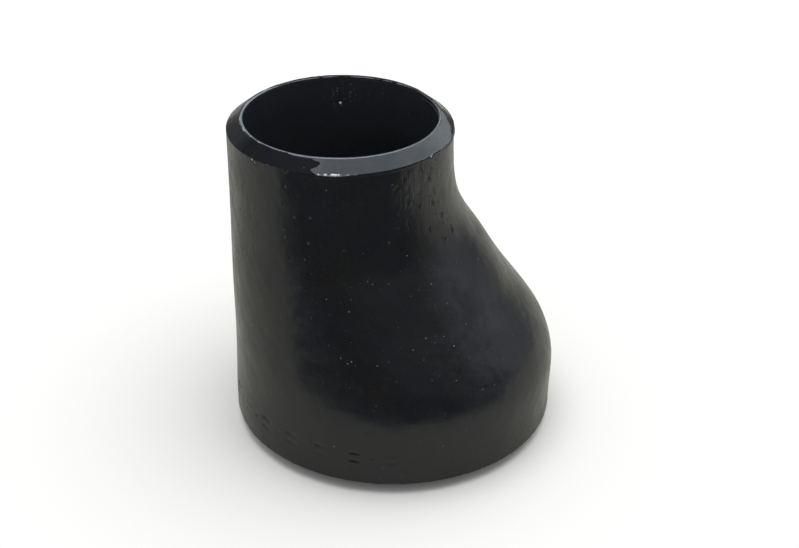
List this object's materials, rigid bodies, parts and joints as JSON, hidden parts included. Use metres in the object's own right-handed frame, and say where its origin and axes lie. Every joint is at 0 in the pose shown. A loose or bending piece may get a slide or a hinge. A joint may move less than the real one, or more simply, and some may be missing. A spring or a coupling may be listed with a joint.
{
  "type": "eccentric pipe reducer",
  "caption": "Eccentric butt-weld pipe reducer: a seamless black-painted steel shell with a flat side and a flared side, its ends bevelled for welding to a larger and a smaller pipe.",
  "frame": {"origin": "centre of the large end's face, which the part stands on", "axes": "+Z along the pipe run towards the small end; -X towards the flat side, +X towards the flared side; Y is across, and the part is symmetric about the XZ plane"},
  "size_m": [0.0888, 0.0888, 0.089],
  "materials": {
    "black_paint": "satin",
    "bare_steel": "satin"
  },
  "bodies": {
    "root": {"reducer_body": "black_paint"}
  },
  "joints": []
}
